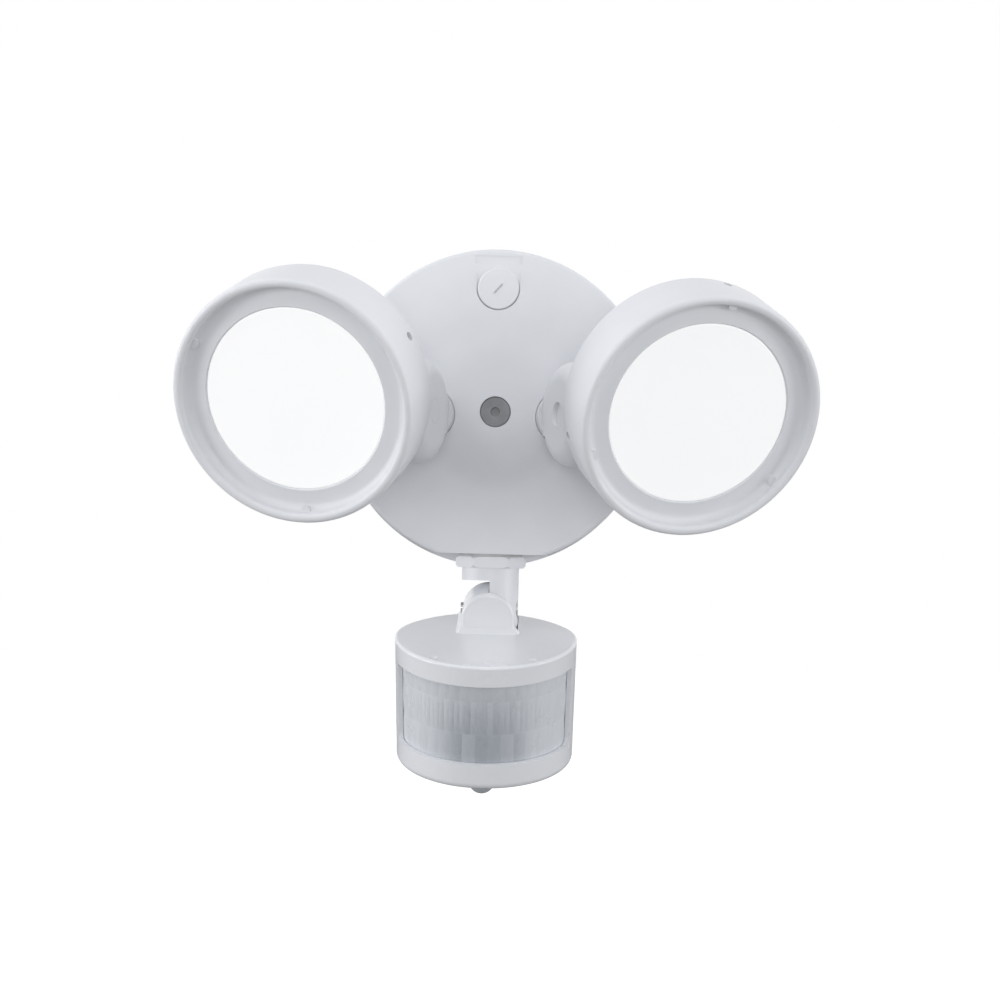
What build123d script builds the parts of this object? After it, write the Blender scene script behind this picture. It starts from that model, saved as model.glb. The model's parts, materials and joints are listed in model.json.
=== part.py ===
from build123d import *
from math import atan2, cos, radians, sin, sqrt, tan
import os

os.makedirs("parts", exist_ok=True)

# Motion sensor security light: a wall canopy with two adjustable round heads and a
# passive infrared sensor below. Millimetres. The origin is at the centre of the
# canopy's back, which lies on the wall. +Z is up and the light looks towards -Y.

# ---------------------------------------------------------------- driving dimensions
# fits
RUN = 0.06            # radial running clearance of a shaft in a moving hole
FIT = 0.1             # gap between two pieces that are assembled together
GAP = 0.3             # gap between pieces that move past each other

# canopy
CANOPY_R = 73.2       # radius at the wall
CANOPY_WALL_DEPTH = 44.0
CANOPY_DRAFT = 1.6    # degrees
CROWN = 7.5           # rise of the front over the rim
CANOPY_SHELL = 3.0
HUB_SPHERE_R = 110.0  # the hub is a shallow spherical cap
HUB_RISE = 4.1        # rise of the hub's top over the crown
HUB_BLEND = 40.0
FRONT_ROUND = 2.2
FLAT_CUT = 5.8        # the flat under the canopy, in from its radius at the wall
BACK_RIM = 5.0        # full round rim left behind the flat
GASKET_DEPTH = 3.0
GASKET_LIP = 2.0      # canopy wall outside the gasket
GASKET_WIDTH = 2.7
BOSS_WALL = 2.5       # metal left around pockets and holes

# centre screw, plug and strap
PLUG_Z = -3.0
PLUG_R = 6.9
PLUG_LENGTH = 5.0
PLUG_SUNK = 0.5
PLUG_DIMPLE_R = 2.2
PLUG_RECESS_DEPTH = 9.0
SCREW_R = 2.1
SCREW_HEAD_R = 4.6
SCREW_HEAD_H = 2.8
POST_BOSS_R = 6.0
STRAP_T = 2.0
STRAP_LENGTH = 104.0
STRAP_WIDTH = 16.0
SLOT_SPACING = 79.4
SLOT_LENGTH = 14.0
SLOT_R = 2.2
GROUND_X = 20.0
GROUND_R = 1.7
GROUND_HEAD_R = 3.6

# pocket and access plug at the top
POCKET_IN = 19.7      # its centre, in from the canopy's radius at the wall
POCKET_R = 9.9
POCKET_SUNK = 5.5     # its floor behind the crown
ACCESS_GAP = 0.5      # round the head in its pocket
ACCESS_HEAD_H = 2.0
ACCESS_SHANK_R = 5.5
ACCESS_SHANK = 6.0
ACCESS_SLOT = 1.0
ACCESS_SLOT_LENGTH = 5.8
ACCESS_SLOT_ANGLE = 50.0
ACCESS_SEAL_R = 7.0
ACCESS_SEAL_T = 0.8
STEP_IN = 6.2         # shallow step between the pocket and the rim
STEP_WIDTH = 21.6
STEP_HEIGHT = 3.8
STEP_CUT = 0.7

# driver
DRIVER_W = 58.0
DRIVER_H = 26.0
DRIVER_D = 20.0
DRIVER_UP = 28.4      # its middle above the flat
DRIVER_BACK = 14.0    # its distance from the wall
DRIVER_TAB = 7.0
DRIVER_TAB_T = 2.0
DRIVER_SCREW_R = 1.5
DRIVER_POST_R = 4.0
DRIVER_SCREW_LENGTH = 8.0

# knuckles: the arm frame has x along the tilt axis, y up and z out of the canopy
KNUCKLE_X = 27.0
KNUCKLE_RISE = 24.4   # ear centre in front of the hub's top
KNUCKLE_Z = -4.5
TOE = 19.2            # each arm's seat faces outwards by this angle, degrees
EAR_R = 23.5
EAR_T = 11.5
EAR_DOME = 8.0        # round of the edge that faces the middle
EAR_EDGE = 1.4        # round of the edge that faces the head
RECESS_R = 5.5
RECESS_DEPTH = 7.0
CAP_SUNK = {-1: 0.0, 1: 2.0}   # caps of the recesses, in from the ear's face
TURN_S = 12.0         # turning axis, out from the ear's inner face
FOOT_R = 11.5
FOOT_T = 4.0
FOOT_TOP = 24.2       # distance of the foot's top from the ear's centre
NECK_WIDTH = 18.0
NECK_S = 2.6          # the neck begins here, out from the ear's inner face
POST_R = 9.0
POST_LENGTH = 13.0
POST_BORE_R = 5.0
WIRE_R = 2.6
WIRE_S = 7.0          # way for the wires, out from the ear's inner face
SEAT_T = 5.0
SEAT_R = 17.0
SEAL_T = 1.0
ARM_NUT_FLATS = 24.0
ARM_NUT_T = 5.0
CLAMP_R = 3.0
CLAMP_HEAD_R = 5.0
CLAMP_HEAD_H = 3.6
CLAMP_SOCKET = 5.0    # across flats
KNUCKLE_WASHER_R = 18.5
KNUCKLE_WASHER_T = 1.0
BARREL_R = 20.0
BARREL_END = 36.0     # distance of the barrel's outer end from the ear's inner face
CLAMP_NUT_FLATS = 10.0
CLAMP_NUT_T = 5.0
CLAMP_NUT_SUNK = 8.0

# heads: the head frame is the arm frame tilted down, z along the beam
TILT = {-1: 21.2, 1: 23.0}       # degrees down from level, as in use
LUG_TURN = {-1: 29.5, 1: 84.0}   # degrees, place of the first lug
HEAD_S_IN = 4.6       # head axis from the ear's inner face: the front radius less this
HEAD_UP = 20.0        # head axis above the tilt axis
HEAD_BACK = 13.0      # z of the flat back
HEAD_BACK_IN = 10.6   # the flat back, in from the front radius
HEAD_BACK_ROUND = 5.0
HEAD_SHOULDER = 24.5  # z where the rear cone ends
HEAD_FLANGE = 27.0    # z where the bezel begins
HEAD_FLANGE_IN = 0.7  # in from the bezel's rear edge
HEAD_FRONT_R = 50.6
HEAD_RIM = 44.6       # z of the front edge of the housing
HEAD_FLOOR = 17.0     # z of the chamber's floor
HEAD_FLOOR_IN = 3.5   # in from the flat back's radius
HEAD_WALL = 5.1
LENS_SEAT_WALL = 2.4  # wall around the lens's seat
LENS_LEDGE = 42.0     # z of the gasket's seat
FIN_T = 2.0
FIN_PITCH = 7.0
FIN_COUNT = 9
FIN_H = 8.0
FIN_IN = 4.0          # in from the flat back's radius
BEZEL_T = 4.7         # its outside over the housing's front radius
BEZEL_FLARE = 0.4
BEZEL_FRONT = 52.5
BEZEL_LIP = 4.3
BEZEL_ROUND = 2.0
BEZEL_FLOOR = 46.5    # z of the floor at the inner wall
BEZEL_EDGE = 47.4     # z of the floor at the lens
BEZEL_COVE = 3.0
LUG_R = 2.1
LUG_H = 2.7
LUG_COUNT = 3
BEZEL_SCREW_Z = 31.0
BEZEL_SCREW_TURN = -4.0   # degrees from the lug to the screw
BEZEL_SCREW_R = 1.2
BEZEL_SCREW_HEAD_R = 1.9
BEZEL_SCREW_LENGTH = 5.5
LENS_IN = 9.5         # its face, in from the housing's front radius
LENS_FACE = 46.8      # z of the lens's front
LENS_T = 1.8
LENS_PLAY = 0.4       # radial play of the lens's flange
LENS_FLANGE_T = 1.4
GASKET_T = 1.1
BOARD_R = 30.0
BOARD_T = 1.6
CHIP = 3.0
CHIP_T = 0.8
CHIP_INNER_R = 5.0
CHIP_OUTER_R = 12.0
CHIP_INNER_COUNT = 4
CHIP_OUTER_COUNT = 8
REFLECTOR_T = 1.2
REFLECTOR_SMALL_R = 17.0
REFLECTOR_RIM = 5.7
REFLECTOR_PLAY = 0.3

# sensor stem
STEM_Y = 29.0         # in front of the wall
STEM_R = 13.15
STEM_SEAL_R = 14.5
STEM_SEAL_T = 1.2
LOCKNUT_FLATS = 28.0
LOCKNUT_T = 5.1
NIPPLE_R = 9.5
NIPPLE_BORE_R = 5.5
NIPPLE_END = 3.0      # nipple beyond the inner nut
INNER_NUT_FLATS = 23.0
INNER_NUT_T = 4.0
HINGE_DROP = 18.7     # hinge axis below the locknut
STEM_COLLAR = 5.8     # full round length of the stem below the locknut
STEM_SHOULDER = 9.4   # where the flat behind the ear begins below the locknut
STEM_EAR_R = 10.5     # behind the hinge; in front the ear keeps the stem's radius
PIVOT_R = 2.5
PIVOT_HEAD_R = 4.4
PIVOT_HEAD_H = 2.6
PIVOT_SOCKET = 3.5
PIVOT_TIP = 0.9       # how far the screw's tip stands out on the left
PIVOT_NUT_FLATS = 8.0
PIVOT_NUT_T = 4.0

# sensor: its frame has its origin on the hinge axis, z up its own axis, y to the back
SENSOR_TILT = 18.0
SENSOR_X = -0.7
SWIVEL = 2.5          # degrees, turned a little to the left, as in use
SENSOR_R = 41.4       # front half circle at the top
SENSOR_OFF = 21.4     # hinge behind the half circle's centre, short of its radius
SENSOR_CORNER = 17.4  # rear corners are this much tighter than the front
SENSOR_FLAT = 8.8     # the back is this much nearer than the front
SENSOR_TOP = -6.3
SENSOR_H = 59.1
SENSOR_DRAFT = 1.0
SENSOR_WALL = 2.2
SENSOR_TOP_ROUND = 1.4
SENSOR_BOTTOM_ROUND = 3.2
SENSOR_EAR_R = 12.2
SENSOR_EAR_EDGE = 1.8
HINGE_BACK = 5.0      # behind this the stem's ear needs less room
CHEEK_T = 2.4         # wall in front of the stem's ear
EAR_FOOT = 2.4        # slope where the sensor's ear meets its top
EAR_FOOT_SUNK = 0.5
SPLIT_BACK = 1.0      # the casing's joint, behind the widest place
WINDOW_TOP = 9.6      # below the top
WINDOW_BOTTOM = 12.3  # above the bottom
WINDOW_HALF_ANGLE = 73.0
WINDOW_ROUND = 3.0
FRESNEL_T = 1.0
FRESNEL_GAP = 0.05
FRESNEL_LAP = 1.4
DIMPLE_R = 1.6
DIMPLE_IN = 19.4      # in from each side
DIMPLE_EDGE = 4.2     # in from the front edge
PCB_IN = 13.4         # board's ends, in from each side
PCB_H = 38.0
PCB_T = 1.6
PCB_FRONT = 2.4       # behind the widest place
PCB_POST_R = 2.4
PCB_POST_IN = 6.0     # posts, in from the board's ends
PCB_POST_Z = 13.0
PIR_R = 4.6
PIR_H = 5.0
PHOTOCELL_R = 5.8
PHOTOCELL_DROP = 5.2
PHOTOCELL_BODY = 6.0
PHOTOCELL_FRONT = 10.5 # in from the front of the bottom
DIAL_R = 5.0
DIAL_X = 13.0
DIAL_Y = -5.0
DIAL_SUNK = 2.2
DIAL_STAND = 0.8
DIAL_STEM_R = 2.0
DIAL_SLOT = 1.0
CASE_SCREW_R = 1.4
CASE_SCREW_HEAD_R = 2.6
CASE_SCREW_IN = 5.2   # in from each side
CASE_BOSS_R = 3.6
CASE_BOSS_REACH = 8.0

# ---------------------------------------------------------------- derived sizes
CANOPY_FRONT_R = CANOPY_R - CANOPY_WALL_DEPTH * tan(radians(CANOPY_DRAFT))
CROWN_R = (CANOPY_FRONT_R**2 + CROWN**2) / (2 * CROWN)
CROWN_DEPTH = CANOPY_WALL_DEPTH + CROWN
HUB_DEPTH = CROWN_DEPTH + HUB_RISE
CAVITY_R = CANOPY_R - GASKET_LIP - GASKET_WIDTH
FLAT_Z = CANOPY_R - FLAT_CUT
POCKET_Z = CANOPY_R - POCKET_IN
POCKET_DEPTH = CROWN_DEPTH - POCKET_SUNK
ACCESS_HEAD_R = POCKET_R - ACCESS_GAP
STEP_Z = CANOPY_R - STEP_IN
KNUCKLE_Y = HUB_DEPTH + KNUCKLE_RISE
INNER_DEPTH = CROWN_DEPTH - CANOPY_SHELL
INNER_RIM = CANOPY_WALL_DEPTH - CANOPY_SHELL + 0.7
INNER_FLOOR_Z = FLAT_Z - CANOPY_SHELL
SCREW_SEAT = HUB_DEPTH - PLUG_RECESS_DEPTH
DRIVER_FRONT = DRIVER_BACK + DRIVER_D
DRIVER_Z = DRIVER_UP - FLAT_Z
DRIVER_SCREW_X = (DRIVER_W + DRIVER_TAB) / 2
FOOT_BOTTOM = FOOT_TOP + FOOT_T
SEAT = FOOT_BOTTOM + SEAL_T + FIT
HEAD_IN = EAR_T + KNUCKLE_WASHER_T + FIT
NECK_T = EAR_T - EAR_EDGE - NECK_S
EAR_ROOM_R = EAR_R + GAP
HEAD_S = HEAD_FRONT_R - HEAD_S_IN
HEAD_BACK_R = HEAD_FRONT_R - HEAD_BACK_IN
HEAD_FLOOR_R = HEAD_BACK_R - HEAD_FLOOR_IN
HEAD_BORE_R = HEAD_FRONT_R - HEAD_WALL
FIN_CIRCLE_R = HEAD_BACK_R - FIN_IN
LENS_BORE_R = HEAD_FRONT_R - LENS_SEAT_WALL
LENS_R = HEAD_FRONT_R - LENS_IN
LENS_FLANGE_R = LENS_BORE_R - LENS_PLAY
REFLECTOR_RIM_R = HEAD_BORE_R - REFLECTOR_PLAY
REFLECTOR_LARGE_R = REFLECTOR_RIM_R - REFLECTOR_RIM
BEZEL_R = HEAD_FRONT_R + BEZEL_T
BEZEL_REAR_R = BEZEL_R - BEZEL_FLARE
HEAD_FLANGE_R = BEZEL_REAR_R - HEAD_FLANGE_IN
BEZEL_REAR = HEAD_FLANGE + FIT
BEZEL_SEAT = HEAD_RIM + FIT
BEZEL_WALL_R = BEZEL_R - BEZEL_LIP
BEZEL_HOLE_R = LENS_R + FIT
LENS_BACK = LENS_LEDGE + GASKET_T
LUG_CIRCLE_R = BEZEL_WALL_R - LUG_R / 4
LOCKNUT_BOTTOM = FLAT_Z + STEM_SEAL_T + FIT + LOCKNUT_T
HINGE_Z = -(LOCKNUT_BOTTOM + HINGE_DROP)
SENSOR_BOTTOM = SENSOR_TOP - SENSOR_H
SENSOR_MIDDLE = SENSOR_TOP - SENSOR_H / 2
SENSOR_SIDE_R = SENSOR_R - SENSOR_CORNER
SENSOR_BACK = SENSOR_R - SENSOR_FLAT
SENSOR_Y = -(SENSOR_R - SENSOR_OFF)
SIDE_CENTRE_X = SENSOR_R - SENSOR_SIDE_R
DIMPLE_X = SENSOR_R - DIMPLE_IN
PCB_W = 2 * (SENSOR_R - PCB_IN)
PCB_POST_X = PCB_W / 2 - PCB_POST_IN
CASE_SCREW_X = SENSOR_R - CASE_SCREW_IN
BACK_CENTRE_Y = ((SENSOR_BACK - SENSOR_SIDE_R)**2 - SIDE_CENTRE_X**2) / (2 * (SENSOR_BACK - SENSOR_SIDE_R))
CORNER_ANGLE = atan2(SIDE_CENTRE_X, -BACK_CENTRE_Y)
PIVOT_SEAT = STEM_R - PIVOT_HEAD_H - FIT
EAR_FACE = GAP / 2    # each hinge ear ends this far from the middle plane
SIDES = {-1: "left", 1: "right"}


def sphere_drop(radius, reach):
    """How far a sphere falls away from its top at this reach from its axis."""
    return radius - sqrt(radius**2 - reach**2)


def hub_reach():
    """Radius at which the hub's cap meets the crowned front."""
    reach = 0.0
    while (HUB_DEPTH - sphere_drop(HUB_SPHERE_R, reach)
           > CROWN_DEPTH - sphere_drop(CROWN_R, reach)):
        reach += 0.05
    return reach


# ---------------------------------------------------------------- frames
def placed(frame, location):
    """Plane placed in another plane's own coordinates."""
    return Plane(frame.location * location)


def arm_frame(side):
    heading = radians(TOE)
    return Plane(
        origin=(side * KNUCKLE_X, -KNUCKLE_Y, KNUCKLE_Z),
        x_dir=(cos(heading), side * sin(heading), 0),
        z_dir=(side * sin(heading), -cos(heading), 0),
    )


def head_frame(side):
    heading, tilt = radians(TOE), radians(TILT[side])
    return Plane(
        origin=(side * KNUCKLE_X, -KNUCKLE_Y, KNUCKLE_Z),
        x_dir=(cos(heading), side * sin(heading), 0),
        z_dir=(side * sin(heading) * cos(tilt), -cos(heading) * cos(tilt), -sin(tilt)),
    )


def outward(frame, side, distance):
    """Plane across the tilt axis, this far out from the ear's inner face."""
    return placed(frame, Location((side * distance, 0, 0), (0, side * 90, 0)))


def turning(side, height):
    """Plane across the arm's turning axis, at this height over the ear's centre."""
    return placed(arm_frame(side), Pos(side * TURN_S, 0, height))


def beam(side, height):
    """Plane across the head's own axis, at this height along the beam."""
    return placed(head_frame(side), Pos(side * HEAD_S, HEAD_UP, height))


def beam_profile(side):
    """Plane through the head's own axis: x is the radius and y runs along the beam."""
    return placed(head_frame(side), Location((side * HEAD_S, HEAD_UP, 0), (90, 0, 0)))


def beam_axis(side):
    frame = head_frame(side)
    return Axis(frame.from_local_coords((side * HEAD_S, HEAD_UP, 0)), frame.z_dir)


def beam_radius(side, angle, reach, height):
    """Plane facing out from the head's own axis."""
    return placed(beam(side, height), Rot(0, 0, angle) * Location((reach, 0, 0), (0, 90, 0)))


def from_wall(depth, x=0.0, z=0.0):
    """Plane parallel to the wall, facing the viewer: x is right and y is up."""
    return Plane(origin=(x, -depth, z), x_dir=(1, 0, 0), z_dir=(0, -1, 0))


def stem_level(height):
    return Plane(origin=(0, -STEM_Y, height))


SWUNG_X = (cos(radians(SWIVEL)), -sin(radians(SWIVEL)), 0)   # the stem's own x
SENSOR = Plane(
    origin=(0, -STEM_Y, HINGE_Z),
    x_dir=SWUNG_X,
    z_dir=(-sin(radians(SWIVEL)) * sin(radians(SENSOR_TILT)),
           -cos(radians(SWIVEL)) * sin(radians(SENSOR_TILT)), cos(radians(SENSOR_TILT))),
)
SENSOR_AXIS = Axis(SENSOR.origin, SENSOR.z_dir)
SENSOR_DEPTH_AXIS = Axis(SENSOR.origin, SENSOR.y_dir)


def sensor_level(height):
    """Plane across the sensor's own axis, centred on its front half circle."""
    return placed(SENSOR, Pos(SENSOR_X, SENSOR_Y, height))


def sensor_depth(depth, x, height):
    """Plane facing the sensor's back, this far behind its widest place."""
    return placed(SENSOR, Location((SENSOR_X + x, SENSOR_Y + depth, height), (-90, 0, 0)))


def hinge_section(frame, x):
    """Plane across the hinge axis: x runs up the frame's own y, y up its own z."""
    return Plane(
        origin=frame.from_local_coords((x, 0, 0)),
        x_dir=frame.y_dir,
        z_dir=frame.x_dir,
    )


# ---------------------------------------------------------------- repeated pieces
def save(part, name):
    part.label = name
    export_step(part, f"parts/{name}.step")


def ring(plane, outer, inner, thickness):
    """Flat ring that stands on this plane."""
    with BuildPart() as body:
        with BuildSketch(plane):
            Circle(outer)
            Circle(inner, mode=Mode.SUBTRACT)
        extrude(amount=thickness)
    return body.part


def nut(plane, flats, thickness, bore):
    """Hexagon nut with turned corners that stands on this plane."""
    with BuildPart() as body:
        with BuildSketch(plane):
            Circle(flats / sqrt(3))
        extrude(amount=thickness)
        chamfer(body.edges().filter_by(GeomType.CIRCLE), flats / 25)
        with BuildSketch(plane):
            RegularPolygon(flats / 2, 6, major_radius=False)
        extrude(amount=thickness, mode=Mode.INTERSECT)
        with BuildSketch(plane):
            Circle(bore)
        extrude(amount=thickness, mode=Mode.SUBTRACT)
    return body.part


def screw(plane, head_r, head_h, shank_r, length, socket=0.0):
    """Screw whose head stands on this plane, with a hexagon socket or a cross recess."""
    with BuildPart() as body:
        with BuildSketch(plane):
            Circle(head_r)
        extrude(amount=head_h)
        top = body.faces().sort_by(Axis(plane.origin, plane.z_dir))[-1]
        fillet(top.edges(), head_h / 4)
        with BuildSketch(plane):
            Circle(shank_r)
        extrude(amount=-length)
        with BuildSketch(plane.offset(head_h)):
            if socket:
                RegularPolygon(socket / 2, 6, major_radius=False)
            else:
                Rectangle(1.3 * head_r, 0.3 * head_r)
                Rectangle(0.3 * head_r, 1.3 * head_r)
        extrude(amount=-head_h / 2, mode=Mode.SUBTRACT)
    return body.part


def group(pieces):
    with BuildPart() as body:
        add(pieces)
    return body.part


# ---------------------------------------------------------------- canopy
hub_foot = hub_reach()
hub_foot_depth = HUB_DEPTH - sphere_drop(HUB_SPHERE_R, hub_foot)

with BuildPart() as canopy_cavity:
    with BuildSketch(Plane.XY):
        with BuildLine():
            Polyline((0, -INNER_DEPTH), (0, 0), (CAVITY_R, 0), (CAVITY_R, -INNER_RIM))
            RadiusArc((CAVITY_R, -INNER_RIM), (0, -INNER_DEPTH), CROWN_R)
        make_face()
    revolve(axis=Axis.Y)
    split(bisect_by=Plane.XY.offset(-INNER_FLOOR_Z), keep=Keep.TOP)
    # posts and bosses that stay solid: centre post, plug, arm seats, pocket, driver
    with BuildSketch(from_wall(STRAP_T, 0, PLUG_Z)):
        Circle(POST_BOSS_R)
    extrude(amount=CROWN_DEPTH, mode=Mode.SUBTRACT)
    with BuildSketch(from_wall(SCREW_SEAT - CANOPY_SHELL, 0, PLUG_Z)):
        Circle(PLUG_R + BOSS_WALL)
    extrude(amount=CROWN_DEPTH, mode=Mode.SUBTRACT)
    for side in SIDES:
        with BuildSketch(turning(side, -SEAT - SEAT_T)):
            Circle(SEAT_R)
        extrude(amount=SEAT, mode=Mode.SUBTRACT)
    with BuildSketch(from_wall(POCKET_DEPTH - CANOPY_SHELL, 0, POCKET_Z)):
        Circle(POCKET_R + BOSS_WALL)
    extrude(amount=CROWN_DEPTH, mode=Mode.SUBTRACT)
    with BuildSketch(from_wall(DRIVER_FRONT, 0, DRIVER_Z)):
        with GridLocations(2 * DRIVER_SCREW_X, 0, 2, 1):
            Circle(DRIVER_POST_R)
    extrude(amount=CROWN_DEPTH, mode=Mode.SUBTRACT)

with BuildPart() as canopy_housing:
    with BuildSketch(Plane.XY) as canopy_profile:
        with BuildLine():
            Polyline((0, -HUB_DEPTH), (0, 0), (CANOPY_R, 0), (CANOPY_FRONT_R, -CANOPY_WALL_DEPTH))
            RadiusArc((CANOPY_FRONT_R, -CANOPY_WALL_DEPTH), (hub_foot, -hub_foot_depth), CROWN_R)
            RadiusArc((hub_foot, -hub_foot_depth), (0, -HUB_DEPTH), HUB_SPHERE_R)
        make_face()
        hub_corner = canopy_profile.vertices().filter_by_position(Axis.X, hub_foot - 1, hub_foot + 1)
        fillet(hub_corner, HUB_BLEND)
        front_corner = canopy_profile.vertices().filter_by_position(
            Axis.X, CANOPY_FRONT_R - 0.1, CANOPY_FRONT_R + 0.1)
        fillet(front_corner, FRONT_ROUND)
    revolve(axis=Axis.Y)
    # flat under the canopy, in front of the round back rim
    with BuildSketch(Plane.XY.offset(-FLAT_Z)):
        with Locations((0, -BACK_RIM - CROWN_DEPTH / 2)):
            Rectangle(2 * CANOPY_R, CROWN_DEPTH)
    extrude(amount=-CANOPY_R, mode=Mode.SUBTRACT)
    add(canopy_cavity.part, mode=Mode.SUBTRACT)
    # groove for the wall gasket
    with BuildSketch(from_wall(0)):
        Circle(CANOPY_R - GASKET_LIP)
        Circle(CAVITY_R, mode=Mode.SUBTRACT)
    extrude(amount=GASKET_DEPTH, mode=Mode.SUBTRACT)
    # centre screw and its plug
    with BuildSketch(from_wall(SCREW_SEAT, 0, PLUG_Z)):
        Circle(PLUG_R + FIT)
    extrude(amount=CROWN_DEPTH, mode=Mode.SUBTRACT)
    with BuildSketch(from_wall(0, 0, PLUG_Z)):
        Circle(SCREW_R + FIT)
    extrude(amount=HUB_DEPTH, mode=Mode.SUBTRACT)
    # seats for the arms
    for side in SIDES:
        with BuildSketch(turning(side, -SEAT)):
            Circle(FOOT_R + GAP)
        extrude(amount=SEAT / 2, mode=Mode.SUBTRACT)
        with BuildSketch(turning(side, -SEAT - 2 * SEAT_T)):
            Circle(POST_R + RUN)
        extrude(amount=SEAT, mode=Mode.SUBTRACT)
        with BuildSketch(turning(side, -SEAT - SEAT_T)):
            Circle(ARM_NUT_FLATS / sqrt(3) + GAP)
        extrude(amount=-2 * SEAT_T, mode=Mode.SUBTRACT)
    # pocket at the top, its floor running out in the crowned front
    with BuildSketch(from_wall(POCKET_DEPTH, 0, POCKET_Z)):
        Circle(POCKET_R)
        with Locations((0, POCKET_R)):
            Rectangle(2 * POCKET_R, 2 * POCKET_R)
    extrude(amount=CROWN_DEPTH, mode=Mode.SUBTRACT)
    with BuildSketch(from_wall(POCKET_DEPTH, 0, POCKET_Z)):
        Circle(ACCESS_SEAL_R + FIT)
    extrude(amount=-ACCESS_SEAL_T, mode=Mode.SUBTRACT)
    with BuildSketch(from_wall(POCKET_DEPTH, 0, POCKET_Z)):
        Circle(ACCESS_SHANK_R + FIT)
    extrude(amount=-2 * CANOPY_SHELL, mode=Mode.SUBTRACT)
    step_depth = CROWN_DEPTH - sphere_drop(CROWN_R, STEP_Z) - STEP_CUT
    with BuildSketch(from_wall(step_depth, 0, STEP_Z)):
        Rectangle(STEP_WIDTH, STEP_HEIGHT)
    extrude(amount=CROWN_DEPTH, mode=Mode.SUBTRACT)
    # hole for the sensor's nipple
    with BuildSketch(stem_level(-INNER_FLOOR_Z + 1)):
        Circle(NIPPLE_R + RUN)
    extrude(amount=-CANOPY_SHELL - 2, mode=Mode.SUBTRACT)
    # screw holes in the driver's posts
    with BuildSketch(from_wall(DRIVER_FRONT, 0, DRIVER_Z)):
        with GridLocations(2 * DRIVER_SCREW_X, 0, 2, 1):
            Circle(DRIVER_SCREW_R + FIT / 2)
    extrude(amount=8, mode=Mode.SUBTRACT)
save(canopy_housing.part, "canopy_housing")

save(ring(from_wall(0), CANOPY_R - GASKET_LIP - FIT, CAVITY_R + FIT, GASKET_DEPTH), "wall_gasket")

with BuildPart() as mounting_strap:
    with BuildSketch(from_wall(0, 0, PLUG_Z)) as strap_outline:
        Rectangle(STRAP_LENGTH, STRAP_WIDTH)
        fillet(strap_outline.vertices(), STRAP_WIDTH / 4)
        Circle(SCREW_R + FIT / 2, mode=Mode.SUBTRACT)
        with Locations((GROUND_X, 0)):
            Circle(GROUND_R + FIT / 2, mode=Mode.SUBTRACT)
        with GridLocations(SLOT_SPACING, 0, 2, 1):
            SlotOverall(SLOT_LENGTH, 2 * SLOT_R, mode=Mode.SUBTRACT)
    extrude(amount=STRAP_T)
save(mounting_strap.part, "mounting_strap")

save(screw(from_wall(STRAP_T, GROUND_X, PLUG_Z), GROUND_HEAD_R, 2.2, GROUND_R, STRAP_T - FIT),
     "ground_screw")
save(screw(from_wall(SCREW_SEAT, 0, PLUG_Z), SCREW_HEAD_R, SCREW_HEAD_H, SCREW_R,
           SCREW_SEAT - FIT), "centre_screw")

with BuildPart() as centre_plug:
    with BuildSketch(from_wall(HUB_DEPTH - PLUG_SUNK - PLUG_LENGTH, 0, PLUG_Z)):
        Circle(PLUG_R)
    extrude(amount=PLUG_LENGTH)
    fillet(centre_plug.faces().sort_by(Axis.Y)[0].edges(), 0.8)
    with BuildSketch(from_wall(HUB_DEPTH - PLUG_SUNK, 0, PLUG_Z)):
        Circle(PLUG_DIMPLE_R)
    extrude(amount=-1.2, taper=20, mode=Mode.SUBTRACT)
save(centre_plug.part, "centre_plug")

with BuildPart() as access_plug:
    with BuildSketch(from_wall(POCKET_DEPTH, 0, POCKET_Z)):
        Circle(ACCESS_HEAD_R)
    extrude(amount=ACCESS_HEAD_H)
    fillet(access_plug.faces().sort_by(Axis.Y)[0].edges(), 0.7)
    with BuildSketch(from_wall(POCKET_DEPTH, 0, POCKET_Z)):
        Circle(ACCESS_SHANK_R)
    extrude(amount=-ACCESS_SHANK)
    with BuildSketch(from_wall(POCKET_DEPTH + ACCESS_HEAD_H, 0, POCKET_Z)):
        with Locations(Rot(0, 0, ACCESS_SLOT_ANGLE)):
            SlotOverall(ACCESS_SLOT_LENGTH, ACCESS_SLOT)
    extrude(amount=-ACCESS_HEAD_H / 2, mode=Mode.SUBTRACT)
save(access_plug.part, "access_plug")
save(ring(from_wall(POCKET_DEPTH - ACCESS_SEAL_T, 0, POCKET_Z), ACCESS_SEAL_R,
          ACCESS_SHANK_R + FIT, ACCESS_SEAL_T), "access_plug_seal")

with BuildPart() as led_driver:
    with BuildSketch(from_wall(DRIVER_BACK, 0, DRIVER_Z)):
        Rectangle(DRIVER_W, DRIVER_H)
    extrude(amount=DRIVER_D)
    fillet(led_driver.edges().filter_by(Axis.Y), 2)
    with BuildSketch(from_wall(DRIVER_FRONT, 0, DRIVER_Z)):
        SlotOverall(DRIVER_W + 2 * DRIVER_TAB, DRIVER_H / 2)
    extrude(amount=-DRIVER_TAB_T)
    with BuildSketch(from_wall(DRIVER_FRONT, 0, DRIVER_Z)):
        with GridLocations(2 * DRIVER_SCREW_X, 0, 2, 1):
            Circle(DRIVER_SCREW_R + FIT)
    extrude(amount=-DRIVER_TAB_T, mode=Mode.SUBTRACT)
save(led_driver.part, "led_driver")

tab_back = DRIVER_FRONT - DRIVER_TAB_T
driver_screws = [
    screw(Plane((x, -tab_back, DRIVER_Z), x_dir=(1, 0, 0), z_dir=(0, 1, 0)),
          2 * DRIVER_SCREW_R, 1.8, DRIVER_SCREW_R, DRIVER_SCREW_LENGTH)
    for x in (-DRIVER_SCREW_X, DRIVER_SCREW_X)
]
save(group(driver_screws), "driver_screws")

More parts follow.
